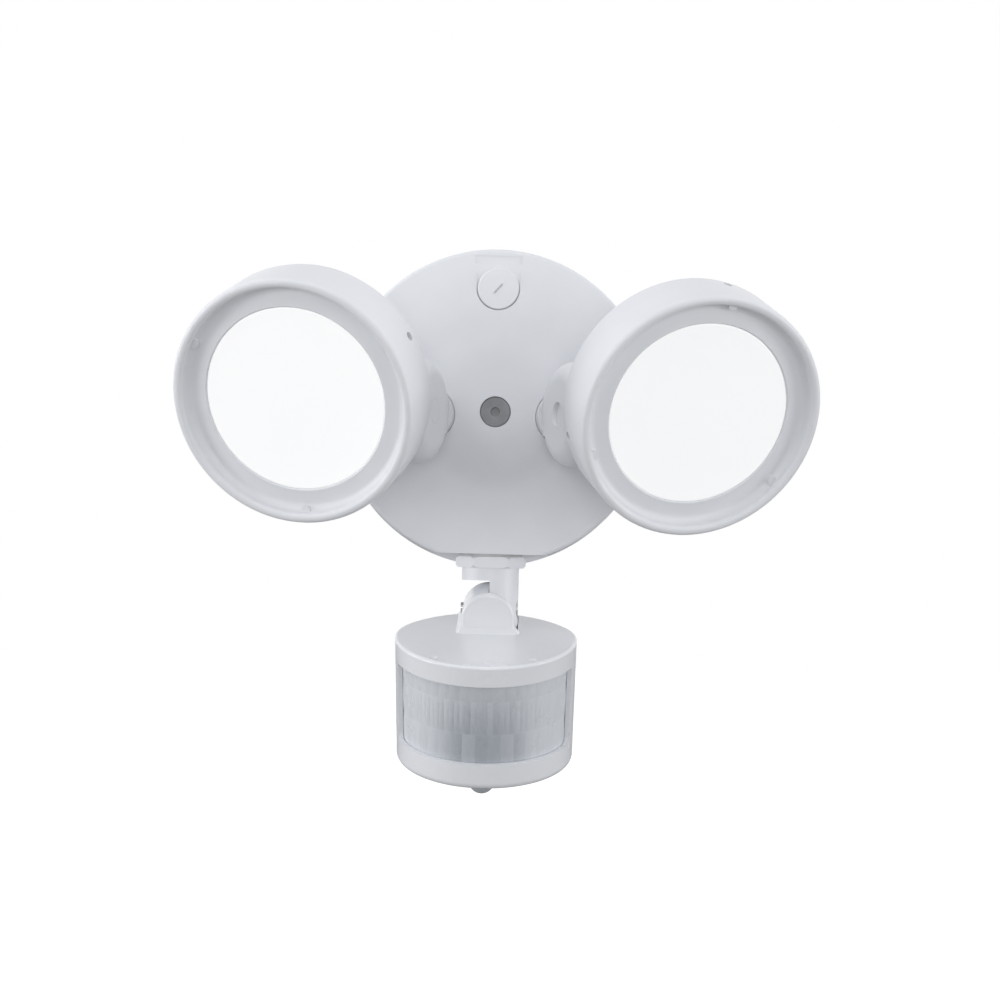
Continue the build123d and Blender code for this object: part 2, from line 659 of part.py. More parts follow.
# ---------------------------------------------------------------- arms and heads
for side, name in SIDES.items():
    knuckle = arm_frame(side)
    with BuildPart() as arm:
        with BuildSketch(outward(knuckle, side, 0)):
            Circle(EAR_R)
        extrude(amount=EAR_T)
        tilt_axis = Axis(knuckle.origin, side * knuckle.x_dir)
        fillet(arm.edges().filter_by(GeomType.CIRCLE).sort_by(tilt_axis)[0], EAR_DOME)
        fillet(arm.edges().filter_by(GeomType.CIRCLE).sort_by(tilt_axis)[-1], EAR_EDGE)
        with BuildSketch(turning(side, -FOOT_TOP)):
            with Locations((side * (NECK_S + NECK_T / 2 - TURN_S), 0)):
                Rectangle(NECK_T, NECK_WIDTH)
        extrude(amount=EAR_R / 2)
        with BuildSketch(turning(side, -FOOT_BOTTOM)):
            Circle(FOOT_R)
        extrude(amount=FOOT_T)
        with BuildSketch(turning(side, -FOOT_BOTTOM)):
            Circle(POST_R)
        extrude(amount=-POST_LENGTH)
        # recess of the clamp screw
        with BuildSketch(outward(knuckle, side, 0)):
            Circle(RECESS_R)
        extrude(amount=RECESS_DEPTH, mode=Mode.SUBTRACT)
        with BuildSketch(outward(knuckle, side, 0)):
            Circle(CLAMP_R + FIT)
        extrude(amount=EAR_T, mode=Mode.SUBTRACT)
        # way for the wires
        with BuildSketch(turning(side, -FOOT_BOTTOM - POST_LENGTH)):
            Circle(POST_BORE_R)
        extrude(amount=POST_LENGTH, mode=Mode.SUBTRACT)
        with BuildSketch(turning(side, -FOOT_BOTTOM)):
            with Locations((side * (WIRE_S - TURN_S), 0)):
                Circle(WIRE_R)
        extrude(amount=FOOT_BOTTOM - CLAMP_HEAD_R, mode=Mode.SUBTRACT)
    save(arm.part, f"{name}_arm")
    save(ring(turning(side, -SEAT), FOOT_R - FIT, POST_R + GAP, SEAL_T), f"{name}_arm_seal")
    save(nut(turning(side, -SEAT - SEAT_T - FIT - ARM_NUT_T), ARM_NUT_FLATS, ARM_NUT_T,
             POST_R + FIT / 2), f"{name}_arm_nut")
    clamp_seat = outward(knuckle, side, RECESS_DEPTH)
    clamp_plane = Plane(clamp_seat.origin, x_dir=clamp_seat.x_dir, z_dir=-clamp_seat.z_dir)
    clamp_length = BARREL_END - CLAMP_NUT_SUNK + CLAMP_NUT_T + 1.5 - RECESS_DEPTH
    save(screw(clamp_plane, CLAMP_HEAD_R, CLAMP_HEAD_H, CLAMP_R, clamp_length, CLAMP_SOCKET),
         f"{name}_knuckle_screw")
    with BuildPart() as knuckle_cap:
        with BuildSketch(outward(knuckle, side, CAP_SUNK[side])):
            Circle(RECESS_R - FIT)
        extrude(amount=RECESS_DEPTH - CLAMP_HEAD_H - FIT - CAP_SUNK[side])
    save(knuckle_cap.part, f"{name}_knuckle_cap")
    save(ring(outward(knuckle, side, EAR_T), KNUCKLE_WASHER_R, CLAMP_R + FIT,
              KNUCKLE_WASHER_T), f"{name}_knuckle_washer")

    frame = head_frame(side)
    screw_turn = LUG_TURN[side] + BEZEL_SCREW_TURN
    save(nut(outward(frame, side, BARREL_END - CLAMP_NUT_SUNK), CLAMP_NUT_FLATS, CLAMP_NUT_T,
             CLAMP_R + RUN), f"{name}_knuckle_nut")

    with BuildPart() as chamber:
        with BuildSketch(beam_profile(side)):
            with BuildLine():
                Polyline((0, HEAD_FLOOR), (HEAD_FLOOR_R, HEAD_FLOOR), (HEAD_BORE_R, HEAD_SHOULDER),
                         (HEAD_BORE_R, LENS_LEDGE), (LENS_BORE_R, LENS_LEDGE),
                         (LENS_BORE_R, HEAD_RIM), (0, HEAD_RIM), (0, HEAD_FLOOR))
            make_face()
        revolve(axis=beam_axis(side))
        with BuildSketch(outward(frame, side, HEAD_IN + BOSS_WALL)):
            Circle(EAR_ROOM_R + BOSS_WALL)
        extrude(amount=-EAR_R * 2, mode=Mode.SUBTRACT)

    with BuildPart() as head_housing:
        with BuildSketch(beam_profile(side)) as housing_profile:
            with BuildLine():
                Polyline((0, HEAD_BACK), (HEAD_BACK_R, HEAD_BACK), (HEAD_FLANGE_R, HEAD_SHOULDER),
                         (HEAD_FLANGE_R, HEAD_FLANGE), (HEAD_FRONT_R, HEAD_FLANGE),
                         (HEAD_FRONT_R, HEAD_RIM), (0, HEAD_RIM), (0, HEAD_BACK))
            make_face()
        revolve(axis=beam_axis(side))
        back_edge = head_housing.faces().sort_by(beam_axis(side))[0].edges()
        fillet(back_edge, HEAD_BACK_ROUND)
        # cooling fins
        with BuildSketch(beam(side, HEAD_BACK - FIN_H)):
            with GridLocations(FIN_PITCH, 0, FIN_COUNT, 1):
                Rectangle(FIN_T, 2 * FIN_CIRCLE_R)
            Circle(FIN_CIRCLE_R, mode=Mode.INTERSECT)
        extrude(amount=FIN_H + 1)
        # barrel on the tilt axis
        with BuildSketch(outward(frame, side, HEAD_IN)):
            Circle(BARREL_R)
        extrude(amount=BARREL_END - HEAD_IN)
        # room for the ear
        with BuildSketch(outward(frame, side, HEAD_IN)):
            Circle(EAR_ROOM_R)
        extrude(amount=-EAR_R * 2, mode=Mode.SUBTRACT)
        add(chamber.part, mode=Mode.SUBTRACT)
        # clamp screw and its nut
        with BuildSketch(outward(frame, side, HEAD_IN)):
            Circle(CLAMP_R + RUN)
        extrude(amount=BARREL_END, mode=Mode.SUBTRACT)
        with BuildSketch(outward(frame, side, BARREL_END - CLAMP_NUT_SUNK)):
            RegularPolygon(CLAMP_NUT_FLATS / 2 + FIT, 6, major_radius=False)
        extrude(amount=CLAMP_NUT_SUNK * 2, mode=Mode.SUBTRACT)
        # threaded holes of the bezel's screws
        for angle in range(0, 360, 360 // LUG_COUNT):
            hole = beam_radius(side, screw_turn + angle, HEAD_FRONT_R, BEZEL_SCREW_Z)
            with BuildSketch(hole.offset(-BEZEL_SCREW_LENGTH)):
                Circle(BEZEL_SCREW_R + FIT / 2)
            extrude(amount=2 * BEZEL_SCREW_LENGTH, mode=Mode.SUBTRACT)
    save(head_housing.part, f"{name}_head_housing")

    with BuildPart() as bezel:
        with BuildSketch(beam_profile(side)) as bezel_profile:
            with BuildLine():
                Polyline((HEAD_FRONT_R + FIT, BEZEL_REAR), (BEZEL_REAR_R, BEZEL_REAR),
                         (BEZEL_R, BEZEL_FRONT), (BEZEL_WALL_R, BEZEL_FRONT),
                         (BEZEL_WALL_R, BEZEL_FLOOR), (BEZEL_HOLE_R, BEZEL_EDGE),
                         (BEZEL_HOLE_R, BEZEL_SEAT), (HEAD_FRONT_R + FIT, BEZEL_SEAT),
                         (HEAD_FRONT_R + FIT, BEZEL_REAR))
            make_face()
            corners = bezel_profile.vertices()
            lip = corners.filter_by_position(Axis.Y, BEZEL_FRONT - 0.1, BEZEL_FRONT + 0.1)
            fillet(lip, BEZEL_ROUND)
            cove = bezel_profile.vertices().filter_by_position(Axis.Y, BEZEL_FLOOR - 0.1, BEZEL_FLOOR + 0.1)
            fillet(cove, BEZEL_COVE)
            edge = bezel_profile.vertices().filter_by_position(Axis.Y, BEZEL_EDGE - 0.1, BEZEL_EDGE + 0.1)
            chamfer(edge, 0.5)
            tail = bezel_profile.vertices().sort_by(Axis.X)
            tail = tail.filter_by_position(Axis.Y, BEZEL_REAR - 0.1, BEZEL_REAR + 0.1)
            fillet(tail[-1], 0.8)
        revolve(axis=beam_axis(side))
        with BuildSketch(beam(side, BEZEL_SEAT + 0.5)):
            with PolarLocations(LUG_CIRCLE_R, LUG_COUNT, start_angle=LUG_TURN[side]):
                Circle(LUG_R)
        extrude(amount=BEZEL_FLOOR + LUG_H - BEZEL_SEAT - 0.5)
        for angle in range(0, 360, 360 // LUG_COUNT):
            hole = beam_radius(side, screw_turn + angle, HEAD_FRONT_R, BEZEL_SCREW_Z)
            with BuildSketch(hole):
                Circle(BEZEL_SCREW_R + FIT)
            extrude(amount=10, mode=Mode.SUBTRACT)
            with BuildSketch(hole.offset(1.5)):
                Circle(BEZEL_SCREW_HEAD_R + FIT)
            extrude(amount=10, mode=Mode.SUBTRACT)
    save(bezel.part, f"{name}_bezel")

    bezel_screws = [
        screw(beam_radius(side, screw_turn + angle, HEAD_FRONT_R + 1.5, BEZEL_SCREW_Z),
              BEZEL_SCREW_HEAD_R, 1.2, BEZEL_SCREW_R, BEZEL_SCREW_LENGTH, BEZEL_SCREW_R)
        for angle in range(0, 360, 360 // LUG_COUNT)
    ]
    save(group(bezel_screws), f"{name}_bezel_screws")

    save(ring(beam(side, LENS_LEDGE), LENS_BORE_R - FIT, HEAD_BORE_R + FIT, GASKET_T),
         f"{name}_lens_gasket")

    with BuildPart() as lens:
        with BuildSketch(beam(side, LENS_BACK)):
            Circle(LENS_FLANGE_R)
        extrude(amount=LENS_FLANGE_T)
        with BuildSketch(beam(side, LENS_BACK)):
            Circle(LENS_R)
        extrude(amount=LENS_FACE - LENS_BACK)
        front_edge = lens.edges().group_by(beam_axis(side))[-1]
        fillet(front_edge, 0.5)
        with BuildSketch(beam(side, LENS_BACK)):
            Circle(LENS_R - LENS_T)
        extrude(amount=LENS_FACE - LENS_BACK - LENS_T, mode=Mode.SUBTRACT)
    save(lens.part, f"{name}_lens")

    board_top = HEAD_FLOOR + BOARD_T
    save(ring(beam(side, HEAD_FLOOR), BOARD_R, WIRE_R, BOARD_T), f"{name}_led_board")
    with BuildPart() as led_chips:
        with BuildSketch(beam(side, board_top)):
            for circle_r, count in ((CHIP_INNER_R, CHIP_INNER_COUNT), (CHIP_OUTER_R, CHIP_OUTER_COUNT)):
                with PolarLocations(circle_r, count):
                    Rectangle(CHIP, CHIP)
        extrude(amount=CHIP_T)
    save(led_chips.part, f"{name}_led_chips")

    with BuildPart() as reflector:
        reflector_top = LENS_LEDGE - FIT
        with BuildSketch(beam_profile(side)):
            with BuildLine():
                Polyline((REFLECTOR_SMALL_R, board_top), (REFLECTOR_SMALL_R + REFLECTOR_T, board_top),
                         (REFLECTOR_LARGE_R + REFLECTOR_T, reflector_top - REFLECTOR_T),
                         (REFLECTOR_RIM_R, reflector_top - REFLECTOR_T),
                         (REFLECTOR_RIM_R, reflector_top), (REFLECTOR_LARGE_R, reflector_top),
                         (REFLECTOR_SMALL_R, board_top))
            make_face()
        revolve(axis=beam_axis(side))
    save(reflector.part, f"{name}_reflector")

# ---------------------------------------------------------------- sensor stem
save(ring(stem_level(-FLAT_Z - STEM_SEAL_T), STEM_SEAL_R, NIPPLE_R + FIT, STEM_SEAL_T), "stem_seal")
save(nut(stem_level(-LOCKNUT_BOTTOM), LOCKNUT_FLATS, LOCKNUT_T, NIPPLE_R + FIT), "stem_locknut")
save(nut(stem_level(-INNER_FLOOR_Z + FIT), INNER_NUT_FLATS, INNER_NUT_T, NIPPLE_R + FIT),
     "stem_inner_nut")

upright = Plane(origin=(0, -STEM_Y, HINGE_Z), x_dir=SWUNG_X, z_dir=(0, 0, 1))
with BuildPart() as sensor_stem:
    with BuildSketch(stem_level(-LOCKNUT_BOTTOM)):
        Circle(STEM_R)
    extrude(amount=-HINGE_DROP - STEM_R)
    # ear rounded about the hinge, flat behind
    with BuildSketch(hinge_section(upright, -STEM_R)):
        Circle(STEM_R)
        with Locations((STEM_R, 0)):
            Rectangle(2 * STEM_R, 2 * STEM_R, mode=Mode.SUBTRACT)
        Circle(STEM_EAR_R)
        with Locations(((STEM_EAR_R - STEM_R) / 2, HINGE_DROP / 2)):
            Rectangle(STEM_EAR_R + STEM_R, HINGE_DROP)
        with Locations((0, HINGE_DROP - STEM_SHOULDER / 2)):
            Rectangle(2 * STEM_R, STEM_SHOULDER)
    extrude(amount=2 * STEM_R, mode=Mode.INTERSECT)
    # left half cut away for the sensor's ear
    with BuildSketch(hinge_section(upright, EAR_FACE)):
        with Locations((0, HINGE_DROP - STEM_COLLAR - STEM_R)):
            Rectangle(3 * STEM_R, 2 * STEM_R)
    extrude(amount=-2 * STEM_R, mode=Mode.SUBTRACT)
    # seat of the pivot screw's head
    with BuildSketch(hinge_section(upright, PIVOT_SEAT)):
        Circle(PIVOT_HEAD_R + GAP)
    extrude(amount=STEM_R, mode=Mode.SUBTRACT)
    with BuildSketch(hinge_section(upright, 0)):
        Circle(PIVOT_R + FIT / 2)
    extrude(amount=STEM_R, mode=Mode.SUBTRACT)
    # threaded nipple and the way for the wires
    with BuildSketch(stem_level(-LOCKNUT_BOTTOM)):
        Circle(NIPPLE_R)
    extrude(amount=LOCKNUT_BOTTOM - INNER_FLOOR_Z + INNER_NUT_T + NIPPLE_END)
    with BuildSketch(stem_level(-LOCKNUT_BOTTOM - STEM_COLLAR / 2)):
        Circle(NIPPLE_BORE_R)
    extrude(amount=LOCKNUT_BOTTOM, mode=Mode.SUBTRACT)
save(sensor_stem.part, "sensor_stem")

save(screw(hinge_section(upright, PIVOT_SEAT), PIVOT_HEAD_R, PIVOT_HEAD_H, PIVOT_R,
           PIVOT_SEAT + EAR_FACE + SENSOR_EAR_R + PIVOT_TIP, PIVOT_SOCKET), "pivot_screw")
save(nut(hinge_section(SENSOR, -EAR_FACE - PIVOT_NUT_T), PIVOT_NUT_FLATS, PIVOT_NUT_T,
         PIVOT_R + RUN), "pivot_nut")


# ---------------------------------------------------------------- sensor
def sensor_form(inset, top, bottom):
    """The sensor's tapered body between two heights, drawn in by an inset."""
    with BuildPart() as form:
        for height in (top, bottom):
            shrink = inset + (SENSOR_TOP - height) * tan(radians(SENSOR_DRAFT))
            front = SENSOR_R - shrink
            side_r = SENSOR_SIDE_R - shrink
            corner_x = SIDE_CENTRE_X + side_r * sin(CORNER_ANGLE)
            corner_y = side_r * cos(CORNER_ANGLE)
            with BuildSketch(sensor_level(height)):
                with BuildLine():
                    ThreePointArc((-front, 0), (0, -front), (front, 0))
                    RadiusArc((front, 0), (corner_x, corner_y), -side_r)
                    ThreePointArc((corner_x, corner_y), (0, SENSOR_BACK - shrink),
                                  (-corner_x, corner_y))
                    RadiusArc((-corner_x, corner_y), (-front, 0), -side_r)
                make_face()
        loft()
    return form.part


def sector(half_angle, top, bottom, corner_round):
    """Wedge to the front of the sensor between two heights."""
    wide, deep = 2 * SENSOR_R * sin(radians(half_angle)), 2 * SENSOR_R * cos(radians(half_angle))
    with BuildPart() as body:
        with BuildSketch(sensor_level(bottom)):
            Polygon((0, 0), (-wide, -deep), (-wide, -2 * SENSOR_R), (wide, -2 * SENSOR_R),
                    (wide, -deep), align=None)
        extrude(amount=top - bottom)
        if corner_round:
            corners = body.faces().sort_by(SENSOR_AXIS)[0].edges()
            corners = corners.sort_by(SENSOR_DEPTH_AXIS)[-2:]
            fillet(corners, corner_round)
    return body.part


def casing_tube(radius, x, height, start, length):
    """Round bar along the sensor's depth."""
    with BuildPart() as body:
        with BuildSketch(sensor_depth(start, x, height)):
            Circle(radius)
        extrude(amount=length)
    return body.part


CASE_INNER_TOP = SENSOR_TOP - SENSOR_WALL
CASE_INNER_BOTTOM = SENSOR_BOTTOM + SENSOR_WALL
DIAL_FLOOR = SENSOR_BOTTOM + DIAL_SUNK
EAR_ROOM_BACK = STEM_EAR_R + GAP
EAR_ROOM_FRONT = STEM_R + GAP
SIDES_X = (-1, 1)

outer_form = sensor_form(0, SENSOR_TOP, SENSOR_BOTTOM)
inner_form = sensor_form(SENSOR_WALL, CASE_INNER_TOP, CASE_INNER_BOTTOM)
board_posts = [
    casing_tube(PCB_POST_R, x * PCB_POST_X, SENSOR_MIDDLE + z * PCB_POST_Z,
                PCB_FRONT + PCB_T, SENSOR_BACK)
    for x in SIDES_X for z in SIDES_X
]
screw_bosses = [
    casing_tube(CASE_BOSS_R, x * CASE_SCREW_X, SENSOR_MIDDLE, SPLIT_BACK - CASE_BOSS_REACH,
                SENSOR_BACK)
    for x in SIDES_X
]

with BuildPart() as casing_cavity:
    add(inner_form)
    bottom_face = casing_cavity.faces().sort_by(SENSOR_AXIS)[0]
    fillet(bottom_face.edges(), SENSOR_BOTTOM_ROUND - SENSOR_WALL)
    add(board_posts, mode=Mode.SUBTRACT)
    add(screw_bosses, mode=Mode.SUBTRACT)
    # wall kept around the hinge's pocket
    with BuildSketch(hinge_section(SENSOR, -EAR_FACE - SENSOR_WALL)):
        Circle(EAR_ROOM_FRONT + SENSOR_WALL)
    extrude(amount=STEM_R + 2 * SENSOR_WALL + GAP, mode=Mode.SUBTRACT)
    with BuildSketch(hinge_section(SENSOR, -STEM_R - SENSOR_WALL)):
        Circle(EAR_ROOM_BACK)
    extrude(amount=STEM_R + SENSOR_WALL, mode=Mode.SUBTRACT)
    # thicker floor around the dials
    with BuildSketch(sensor_level(SENSOR_BOTTOM)):
        with Locations((-DIAL_X, DIAL_Y), (DIAL_X, DIAL_Y)):
            Circle(DIAL_R + BOSS_WALL)
    extrude(amount=2 * DIAL_SUNK, mode=Mode.SUBTRACT)

with BuildPart() as casing:
    add(outer_form)
    top_face = casing.faces().sort_by(SENSOR_AXIS)[-1]
    fillet(top_face.edges(), SENSOR_TOP_ROUND)
    bottom_face = casing.faces().sort_by(SENSOR_AXIS)[0]
    fillet(bottom_face.edges(), SENSOR_BOTTOM_ROUND)

with BuildPart() as hinge_ear:
    # round-topped block in front of the hinge, a dome behind it
    ear_root = SENSOR_TOP - SENSOR_WALL
    with BuildSketch(placed(SENSOR, Location((-EAR_FACE, 0, 0), (90, 0, 0)))):
        Circle(SENSOR_EAR_R)
        with Locations((0, -SENSOR_EAR_R)):
            Rectangle(2 * SENSOR_EAR_R, 2 * SENSOR_EAR_R)
    extrude(amount=EAR_ROOM_FRONT + CHEEK_T)
    front_face = hinge_ear.faces().sort_by(SENSOR_DEPTH_AXIS)[0]
    fillet(front_face.edges(), SENSOR_EAR_EDGE)
    with Locations(SENSOR.from_local_coords((-EAR_FACE, 0, 0))):
        Sphere(SENSOR_EAR_R)
    with BuildSketch(placed(SENSOR, Pos(-EAR_FACE, 0, 0))):
        Circle(SENSOR_EAR_R)
    extrude(amount=ear_root)
    # sloping foot on the sensor's top
    foot_front = EAR_ROOM_FRONT + CHEEK_T
    with BuildSketch(placed(SENSOR, Pos(-EAR_FACE, (STEM_EAR_R - foot_front) / 2,
                                        SENSOR_TOP - EAR_FOOT_SUNK))) as foot_outline:
        Rectangle(2 * SENSOR_EAR_R, STEM_EAR_R + foot_front)
        offset(amount=EAR_FOOT + EAR_FOOT_SUNK)
    extrude(amount=EAR_FOOT + EAR_FOOT_SUNK, taper=45)
    # ends at the casing's top wall and flush with the flat behind the stem
    with BuildSketch(placed(SENSOR, Pos(0, 0, ear_root))):
        Rectangle(4 * SENSOR_EAR_R, 4 * SENSOR_EAR_R)
    extrude(amount=-2 * SENSOR_EAR_R, mode=Mode.SUBTRACT)
    with BuildSketch(placed(SENSOR, Location((0, STEM_EAR_R, 0), (-90, 0, 0)))):
        Rectangle(4 * SENSOR_EAR_R, 4 * SENSOR_EAR_R)
    extrude(amount=SENSOR_EAR_R, mode=Mode.SUBTRACT)
    # right of the middle only the cheek in front of the stem's ear stays
    with BuildSketch(hinge_section(SENSOR, -EAR_FACE)):
        with Locations((2 * SENSOR_EAR_R - EAR_ROOM_FRONT, 0)):
            Rectangle(4 * SENSOR_EAR_R, 4 * SENSOR_EAR_R)
    extrude(amount=2 * SENSOR_EAR_R, mode=Mode.SUBTRACT)

split_plane = sensor_depth(SPLIT_BACK, 0, SENSOR_MIDDLE)

with BuildPart() as sensor_rear:
    add(casing.part)
    split(bisect_by=split_plane, keep=Keep.TOP)
    # pocket for the stem's ear
    with BuildSketch(hinge_section(SENSOR, -EAR_FACE)):
        Circle(EAR_ROOM_FRONT)
        with Locations((HINGE_BACK + EAR_ROOM_FRONT, 0)):
            Rectangle(2 * EAR_ROOM_FRONT, 2 * EAR_ROOM_FRONT, mode=Mode.SUBTRACT)
        Circle(EAR_ROOM_BACK)
    extrude(amount=STEM_R + EAR_FACE + GAP, mode=Mode.SUBTRACT)
    add(hinge_ear.part)
    add(casing_cavity.part, mode=Mode.SUBTRACT)
    with BuildSketch(hinge_section(SENSOR, 0)):
        Circle(PIVOT_R + RUN)
    extrude(amount=-STEM_R - FIT, mode=Mode.SUBTRACT)
    with BuildSketch(hinge_section(SENSOR, 0)):
        RegularPolygon(PIVOT_NUT_FLATS / 2 + FIT, 6, major_radius=False)
    extrude(amount=-EAR_FACE - PIVOT_NUT_T - FIT, mode=Mode.SUBTRACT)
    for x in SIDES_X:
        with BuildSketch(sensor_depth(0, x * CASE_SCREW_X, SENSOR_MIDDLE)):
            Circle(CASE_SCREW_R + FIT)
        extrude(amount=SENSOR_BACK, mode=Mode.SUBTRACT)
        with BuildSketch(sensor_depth(CASE_BOSS_REACH, x * CASE_SCREW_X, SENSOR_MIDDLE)):
            Circle(CASE_SCREW_HEAD_R + FIT)
        extrude(amount=SENSOR_BACK, mode=Mode.SUBTRACT)
save(sensor_rear.part, "sensor_rear")

window_top = SENSOR_TOP - WINDOW_TOP
window_bottom = SENSOR_BOTTOM + WINDOW_BOTTOM
photocell_y = PHOTOCELL_FRONT + SENSOR_H * tan(radians(SENSOR_DRAFT)) - SENSOR_R
window = sector(WINDOW_HALF_ANGLE, window_top, window_bottom, WINDOW_ROUND)
with BuildPart() as sensor_front:
    add(casing.part)
    split(bisect_by=split_plane, keep=Keep.BOTTOM)
    add(casing_cavity.part, mode=Mode.SUBTRACT)
    add(window, mode=Mode.SUBTRACT)
    # two dimples near the front edge of the top
    dimple_y = -sqrt((SENSOR_R - DIMPLE_EDGE)**2 - DIMPLE_X**2)
    with Locations(*[sensor_level(SENSOR_TOP + DIMPLE_R / 3).from_local_coords((x * DIMPLE_X, dimple_y, 0))
                     for x in SIDES_X]):
        Sphere(DIMPLE_R, mode=Mode.SUBTRACT)
    # hole of the photocell
    with BuildSketch(sensor_level(SENSOR_BOTTOM)):
        with Locations((0, photocell_y)):
            Circle(PHOTOCELL_R + FIT)
    extrude(amount=2 * SENSOR_WALL, mode=Mode.SUBTRACT)
    # recesses and holes of the dials
    with BuildSketch(sensor_level(DIAL_FLOOR)):
        with Locations((-DIAL_X, DIAL_Y), (DIAL_X, DIAL_Y)):
            Circle(DIAL_R + GAP)
    extrude(amount=-2 * DIAL_SUNK, mode=Mode.SUBTRACT)
    with BuildSketch(sensor_level(SENSOR_BOTTOM)):
        with Locations((-DIAL_X, DIAL_Y), (DIAL_X, DIAL_Y)):
            Circle(DIAL_STEM_R + RUN)
    extrude(amount=3 * DIAL_SUNK, mode=Mode.SUBTRACT)
    for x in SIDES_X:
        with BuildSketch(sensor_depth(SPLIT_BACK, x * CASE_SCREW_X, SENSOR_MIDDLE)):
            Circle(CASE_SCREW_R + FIT / 2)
        extrude(amount=-CASE_BOSS_REACH + 1, mode=Mode.SUBTRACT)
save(sensor_front.part, "sensor_front")

lens_lap = FRESNEL_LAP * 180 / (3.14159 * (SENSOR_R - SENSOR_WALL))
lens_sector = sector(WINDOW_HALF_ANGLE + lens_lap, window_top + FRESNEL_LAP,
                     window_bottom - FRESNEL_LAP, 0)
lens_outer = sensor_form(SENSOR_WALL + FRESNEL_GAP, CASE_INNER_TOP, CASE_INNER_BOTTOM)
lens_inner = sensor_form(SENSOR_WALL + FRESNEL_GAP + FRESNEL_T, SENSOR_TOP, SENSOR_BOTTOM)
with BuildPart() as fresnel_lens:
    add(lens_sector)
    add(lens_outer, mode=Mode.INTERSECT)
    add(lens_inner, mode=Mode.SUBTRACT)
save(fresnel_lens.part, "fresnel_lens")

with BuildPart() as sensor_board:
    with BuildSketch(sensor_depth(PCB_FRONT, 0, SENSOR_MIDDLE)):
        Rectangle(PCB_W, PCB_H)
    extrude(amount=PCB_T)
save(sensor_board.part, "sensor_board")

with BuildPart() as pir_element:
    with BuildSketch(sensor_depth(PCB_FRONT, 0, SENSOR_MIDDLE)):
        Circle(PIR_R)
    extrude(amount=-PIR_H)
    fillet(pir_element.faces().sort_by(SENSOR_DEPTH_AXIS)[0].edges(), 0.6)
save(pir_element.part, "pir_element")

with BuildPart() as photocell:
    with BuildSketch(sensor_level(SENSOR_BOTTOM)):
        with Locations((0, photocell_y)):
            Circle(PHOTOCELL_R)
    extrude(amount=PHOTOCELL_BODY)
    extrude(photocell.faces().sort_by(SENSOR_AXIS)[0], amount=PHOTOCELL_DROP)
    fillet(photocell.faces().sort_by(SENSOR_AXIS)[0].edges(), PHOTOCELL_R - 0.3)
save(photocell.part, "photocell")

for name, x in (("time_dial", -DIAL_X), ("range_dial", DIAL_X)):
    with BuildPart() as dial:
        with BuildSketch(sensor_level(DIAL_FLOOR - FIT)):
            with Locations((x, DIAL_Y)):
                Circle(DIAL_R)
        extrude(amount=-DIAL_SUNK - DIAL_STAND + FIT)
        fillet(dial.faces().sort_by(SENSOR_AXIS)[0].edges(), 0.5)
        with BuildSketch(sensor_level(SENSOR_BOTTOM - DIAL_STAND)):
            with Locations((x, DIAL_Y)):
                Rectangle(DIAL_SLOT, 2 * DIAL_R - 3)
        extrude(amount=DIAL_STAND, mode=Mode.SUBTRACT)
        with BuildSketch(sensor_level(DIAL_FLOOR - FIT)):
            with Locations((x, DIAL_Y)):
                Circle(DIAL_STEM_R)
        extrude(amount=2 * DIAL_SUNK)
    save(dial.part, name)

sensor_screws = [
    screw(sensor_depth(CASE_BOSS_REACH, x * CASE_SCREW_X, SENSOR_MIDDLE), CASE_SCREW_HEAD_R, 1.8,
          CASE_SCREW_R, 2 * CASE_BOSS_REACH - 2.5)
    for x in SIDES_X
]
save(group(sensor_screws), "sensor_screws")
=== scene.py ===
import json
import math

import bmesh
import bpy
from mathutils import Matrix, Vector


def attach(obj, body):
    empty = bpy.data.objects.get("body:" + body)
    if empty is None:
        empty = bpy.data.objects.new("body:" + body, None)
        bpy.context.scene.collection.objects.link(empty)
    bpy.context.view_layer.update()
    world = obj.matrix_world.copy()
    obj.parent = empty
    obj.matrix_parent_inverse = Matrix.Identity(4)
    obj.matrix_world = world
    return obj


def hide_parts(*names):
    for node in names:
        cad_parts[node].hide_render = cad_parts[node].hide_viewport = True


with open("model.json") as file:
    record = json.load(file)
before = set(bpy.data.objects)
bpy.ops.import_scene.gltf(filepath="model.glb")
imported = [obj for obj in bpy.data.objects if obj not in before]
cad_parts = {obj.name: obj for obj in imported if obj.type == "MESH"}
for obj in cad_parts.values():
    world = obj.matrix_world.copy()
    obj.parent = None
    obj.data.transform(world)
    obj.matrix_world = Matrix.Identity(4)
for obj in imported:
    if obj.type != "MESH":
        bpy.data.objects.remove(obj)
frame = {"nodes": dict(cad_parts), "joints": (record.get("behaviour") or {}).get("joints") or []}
nodes = frame["nodes"]
joints = {joint["name"]: joint for joint in frame["joints"]}
